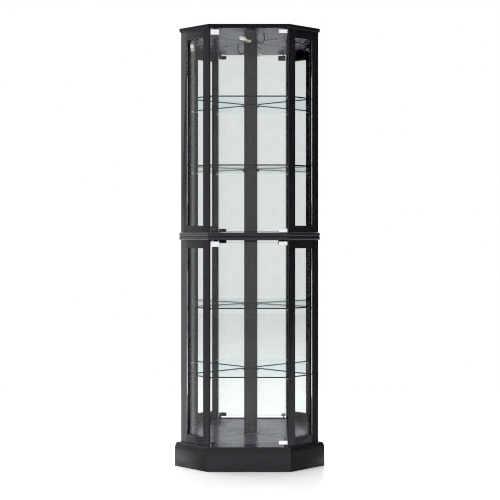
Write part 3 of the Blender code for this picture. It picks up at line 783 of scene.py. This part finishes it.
def add_hinge_bushes():
    """A nylon washer round each hinge pin, on the face of its board."""
    for section in SECTIONS:
        mesh = bmesh.new()
        for end in ENDS:
            axis_x = low(f"{section}_door_glass").x + HINGE_INSET
            axis_y = middle(f"{section}_door_glass").y
            if end == "bottom":
                face = {"lower": high("base_board").z, "upper": high("middle_board").z}[section]
                way = UP
            else:
                face = {"lower": low("middle_board").z, "upper": low("top_board").z}[section]
                way = -UP
            washer(mesh, *BUSH, around((axis_x, axis_y, face), way))
        piece(f"{section}_hinge_bushes", mesh, BLACK_PLASTIC, ROOT)


EAR = (0.0095, 0.0085, 0.0018)
LATCH_COLLAR = (0.0035, 0.0049, 0.0008)
LATCH_RIB = (0.007, 0.0012, 0.0006)
LATCH_RIBS = 5
FIRST_RIB = 0.012
RIB_STEP = 0.005
MAGNET = ((0.0030, 0.0), (0.0030, 0.00012), (0.0028, 0.0002), (0.0, 0.0002))


def add_latch_fittings():
    """A screwed ear and a collar on each push latch, and a magnet in each plunger's nose."""
    for section in SECTIONS:
        body = bmesh.new()
        screws = bmesh.new()
        for end in ENDS:
            node = f"{section}_{end}_latch_housing"
            a = low(node)
            b = high(node)
            centre = (a + b) / 2
            way = UP if end == "bottom" else -UP
            seat = a.z if end == "bottom" else b.z
            plunger = f"{section}_{end}_latch_plunger"
            axis_z = middle(plunger).z
            behind = Vector((centre.x, b.y + EAR[1] / 2 - 0.0004, seat))
            block(body, behind + way * EAR[2] / 2, EAR, 0.0004)
            phillips(screws, 0.0025, around(behind + way * EAR[2] + Vector((0, 0.0006, 0)), way))
            washer(body, *LATCH_COLLAR, around((centre.x, a.y, axis_z), (0, -1, 0)))
            crown = b.z if end == "bottom" else a.z
            for i in range(LATCH_RIBS):
                y = a.y + FIRST_RIB + i * RIB_STEP
                block(body, Vector((centre.x, y, crown)) + way * 0.0001, LATCH_RIB, 0.0002)
            nose = bmesh.new()
            head = Vector((centre.x, low(plunger).y, axis_z))
            lathe(nose, MAGNET, around(head, (0, -1, 0)), 24)
            piece(f"{section}_{end}_plunger_magnet", nose, STEEL, f"{section}_{end}_plunger")
        piece(f"{section}_latch_ears", body, BLACK_PLASTIC, ROOT)
        piece(f"{section}_latch_screws", screws, STEEL, ROOT)


# The lamp's lead, in design coordinates whose y starts at the front face.
WIRE_DIAMETER = 0.0042
WIRE_ROUTE = (
    (0.0075, 0.139, 1.7541),
    (0.0150, 0.1405, 1.7535),
    (0.0215, 0.1460, 1.7560),
    (0.0245, 0.1560, 1.7635),
    (0.0255, 0.1680, 1.7725),
    (0.0262, 0.1830, 1.7785),
    (0.0270, 0.1990, 1.7795),
    (0.0280, 0.2130, 1.7765),
    (0.0298, 0.2250, 1.7705),
    (0.0335, 0.2330, 1.7635),
    (0.0395, 0.2365, 1.7587),
    (0.0460, 0.2370, 1.7575),
    (0.0525, 0.2370, 1.7597),
    (0.0573, 0.2370, 1.7655),
    (0.0597, 0.2370, 1.7745),
    (0.0600, 0.2370, 1.7860),
    (0.0600, 0.2370, 1.7990),
)


def smooth_route(points, steps):
    """A Catmull-Rom curve through the points."""
    ends = [2 * points[0] - points[1]] + points + [2 * points[-1] - points[-2]]
    route = []
    for before, first, last, after in zip(ends, ends[1:], ends[2:], ends[3:]):
        for i in range(steps):
            t = i / steps
            bend = 2 * before - 5 * first + 4 * last - after
            turn = 3 * first - before - 3 * last + after
            route.append(0.5 * (2 * first + (last - before) * t + bend * t * t + turn * t ** 3))
    return route + [points[-1]]


def add_lamp_wire():
    """The lamp's lead: out of the socket, back under the ceiling, down in a loop and up its hole."""
    route = smooth_route([Vector((x, FRONT_Y + y, z)) for x, y, z in WIRE_ROUTE], 4)
    curve = bpy.data.curves.new("lamp_lead", "CURVE")
    curve.dimensions = "3D"
    curve.bevel_depth = WIRE_DIAMETER / 2
    curve.bevel_resolution = 4
    curve.use_fill_caps = True
    spline = curve.splines.new("POLY")
    spline.points.add(len(route) - 1)
    for point, place in zip(spline.points, route):
        point.co = (*place, 1.0)
    spline.use_smooth = True
    curve.materials.append(SHEATH)
    lead = bpy.data.objects.new("lamp_lead", curve)
    bpy.context.scene.collection.objects.link(lead)
    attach(lead, ROOT)
    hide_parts("lamp_wire")


SHELL_RADIUS = 0.0095
SHELL_RINGS = (-0.0070, -0.0052, -0.0034, -0.0016)
RIM_RADIUS = 0.0120
RIM_HEIGHT = 0.0080
RIM_RIBS = 30
RIM_RIB = (0.0006, 0.0011, 0.0046)
REAR_CAP = (
    (0.0, -0.0142),
    (0.0030, -0.0142),
    (0.0036, -0.0134),
    (0.0036, -0.0124),
    (0.0056, -0.0118),
    (0.0056, -0.0112),
)
GROMMET = (0.0023, 0.0052, 0.0012)
STRAP_SCREW_DEPTH = LAMP_DEPTH + 0.0075 + 0.0105
STRAP_THICKNESS = 0.0028


def add_lamp_fittings():
    """Rings and ribs on the socket, an insulating cap at its back, a strap screw and a wire grommet."""
    mesh = bmesh.new()
    place = around(LAMP_CENTRE, LAMP_AXIS)
    for height in SHELL_RINGS:
        ring = [
            (SHELL_RADIUS - 0.0003, height - 0.0006),
            (SHELL_RADIUS + 0.0004, height - 0.0003),
            (SHELL_RADIUS + 0.0004, height + 0.0003),
            (SHELL_RADIUS - 0.0003, height + 0.0006),
        ]
        lathe(mesh, ring, place, 32)
    for i, (x, y) in enumerate(polygon_outline(RIM_RADIUS, RIM_RIBS)):
        centre = place @ Vector((x, y, RIM_HEIGHT))
        spin = place.to_3x3().to_4x4() @ Matrix.Rotation(2 * math.pi * i / RIM_RIBS, 4, "Z")
        cube = Matrix.Translation(centre) @ spin @ Matrix.Diagonal((*RIM_RIB, 1))
        bmesh.ops.create_cube(mesh, size=1.0, matrix=cube)
    piece("lamp_socket_rings", mesh, BRASS, ROOT)

    mesh = bmesh.new()
    lathe(mesh, REAR_CAP, place, 24)
    hole = Vector((WIRE_ROUTE[-1][0], FRONT_Y + WIRE_ROUTE[-1][1], low("top_board").z))
    washer(mesh, *GROMMET, around(hole, -UP))
    piece("lamp_cap_and_grommet", mesh, BLACK_PLASTIC, ROOT)

    mesh = bmesh.new()
    foot = Vector((LAMP_CENTRE.x, FRONT_Y + STRAP_SCREW_DEPTH, low("top_board").z - STRAP_THICKNESS))
    phillips(mesh, 0.0026, around(foot, -UP))
    piece("lamp_strap_screw", mesh, STEEL, ROOT)


BACK_SCREW_STEP = 0.145
BACK_SCREW_RADIUS = 0.0032
BACK_SCREW_FROM_EDGE = 0.009
BACK_SCREW_FROM_END = 0.012


def add_back_screws():
    """Pan-head screws along both long edges of each back panel, and across it at each board."""
    mesh = bmesh.new()
    for side in SIDES:
        node = f"{side}_back_panel"
        half = panel_length(node, BACK_PANEL) / 2
        face = middle(node) + WALL_OUT[side] * BACK_PANEL / 2
        first = low(node).z + BACK_SCREW_FROM_END
        last = high(node).z - BACK_SCREW_FROM_END
        count = round((high(node).z - low(node).z) / BACK_SCREW_STEP)
        places = []
        for across in (BACK_SCREW_FROM_EDGE - half, half - BACK_SCREW_FROM_EDGE):
            for i in range(count + 1):
                places.append((across, first + (last - first) * i / count))
        for level in (low("base_board").z, middle("middle_board").z, high(node).z):
            for across in (-0.5, -0.17, 0.17, 0.5):
                places.append((across * 2 * half * 0.8, min(max(level, first), last)))
        for across, z in places:
            spot = face + WALL_ALONG[side] * across
            phillips(mesh, BACK_SCREW_RADIUS, around(Vector((spot.x, spot.y, z)), WALL_OUT[side]))
    piece("back_panel_screws", mesh, STEEL, ROOT)


# The studio.

def make_camera():
    """The viewpoint: level, a little above mid-height, five metres in front of the doors."""
    data = bpy.data.cameras.new("camera")
    data.lens = 90.3
    data.sensor_width = 36.0
    data.shift_x = -0.0476
    data.shift_y = -0.040
    data.clip_start = 0.1
    data.clip_end = 100.0
    camera = bpy.data.objects.new("camera", data)
    camera.location = (0.0997, FRONT_Y - 5.05, 0.971)
    camera.rotation_euler = (math.radians(90), 0.0, 0.0)
    bpy.context.scene.collection.objects.link(camera)
    bpy.context.scene.camera = camera


FLOOR_EDGES = (-6.0, 6.0, -9.0, 2.4)


def make_floor():
    """A plain white floor under and around the cabinet."""
    left, right, near, far = FLOOR_EDGES
    mesh = bmesh.new()
    corners = [(left, near), (right, near), (right, far), (left, far)]
    mesh.faces.new([mesh.verts.new((x, y, FLOOR_Z - 0.0002)) for x, y in corners])
    data = bpy.data.meshes.new("studio_floor")
    mesh.to_mesh(data)
    mesh.free()
    floor = bpy.data.objects.new("studio_floor", data)
    bpy.context.scene.collection.objects.link(floor)
    nodes = Nodes("pale_studio_floor")
    place = nodes.coordinates()
    mottle = nodes.noise(place, 3, 3)
    pale = nodes.blend(mottle, (0.955, 0.955, 0.955), (0.97, 0.97, 0.97))
    shader = nodes.principled(base_color=pale, roughness=nodes.span(mottle, 0.3, 0.7, 0.22, 0.27))
    data.materials.append(nodes.finish(shader.outputs[0]))


# Brightness of the studio from its left, through its middle, to its right.
WORLD_LEVELS = ((0.0, 0.80), (0.25, 0.90), (0.50, 0.90), (0.66, 0.85), (0.90, 0.06), (1.0, 0.03))


def make_world():
    """A studio bright at the cabinet's left, dark at its right, and white where the camera looks."""
    world = bpy.data.worlds.new("studio")
    world.use_nodes = True
    tree = world.node_tree
    tree.nodes.clear()
    output = tree.nodes.new("ShaderNodeOutputWorld")
    background = tree.nodes.new("ShaderNodeBackground")
    place = tree.nodes.new("ShaderNodeTexCoord")
    split = tree.nodes.new("ShaderNodeSeparateXYZ")
    across = tree.nodes.new("ShaderNodeMapRange")
    across.inputs["From Min"].default_value = -1.0
    across.inputs["From Max"].default_value = 1.0
    ramp = tree.nodes.new("ShaderNodeValToRGB")
    ramp.color_ramp.interpolation = "EASE"
    for number, (position, level) in enumerate(WORLD_LEVELS):
        if number < 2:
            stop = ramp.color_ramp.elements[number]
            stop.position = position
        else:
            stop = ramp.color_ramp.elements.new(position)
        stop.color = (level, level, level * 1.01, 1.0)
    seen = tree.nodes.new("ShaderNodeLightPath")
    choose = tree.nodes.new("ShaderNodeMix")
    choose.data_type = "RGBA"
    choose.inputs[7].default_value = (1.0, 1.0, 1.0, 1.0)
    background.inputs["Strength"].default_value = 1.0
    for source, target in (
        (place.outputs["Generated"], split.inputs[0]),
        (split.outputs["X"], across.inputs["Value"]),
        (across.outputs["Result"], ramp.inputs["Fac"]),
        (seen.outputs["Is Camera Ray"], choose.inputs[0]),
        (ramp.outputs["Color"], choose.inputs[6]),
        (choose.outputs[2], background.inputs["Color"]),
        (background.outputs[0], output.inputs["Surface"]),
    ):
        tree.links.new(source, target)
    bpy.context.scene.world = world


def make_light(name, place, target, size, power):
    data = bpy.data.lights.new(name, "AREA")
    data.shape = "RECTANGLE"
    data.size, data.size_y = size
    data.energy = power
    light = bpy.data.objects.new(name, data)
    light.location = place
    light.rotation_euler = (Vector(target) - Vector(place)).to_track_quat("-Z", "Y").to_euler()
    light.visible_camera = False
    bpy.context.scene.collection.objects.link(light)


def make_studio():
    make_floor()
    make_world()
    make_light("card_left", (-0.80, 0.30, 1.0), (0, 0.30, 1.0), (0.78, 2.6), 11)
    make_light("overhead", (0.0, 1.6, 4.6), (0, 1.6, 0), (6.0, 6.0), 385)
    scene = bpy.context.scene
    scene.view_settings.view_transform = "Standard"
    scene.cycles.max_bounces = 24
    scene.cycles.glossy_bounces = 12
    scene.cycles.transmission_bounces = 16
    scene.cycles.transparent_max_bounces = 32
    scene.cycles.diffuse_bounces = 4
    scene.cycles.filter_width = 1.0


paint_frame_nodes()
soften_wood()
add_shelf_pins()
add_glazing_beads()
add_reveal_strips()
add_clamp_fittings()
add_hinge_bushes()
add_latch_fittings()
add_lamp_wire()
add_lamp_fittings()
add_back_screws()
make_camera()
make_studio()
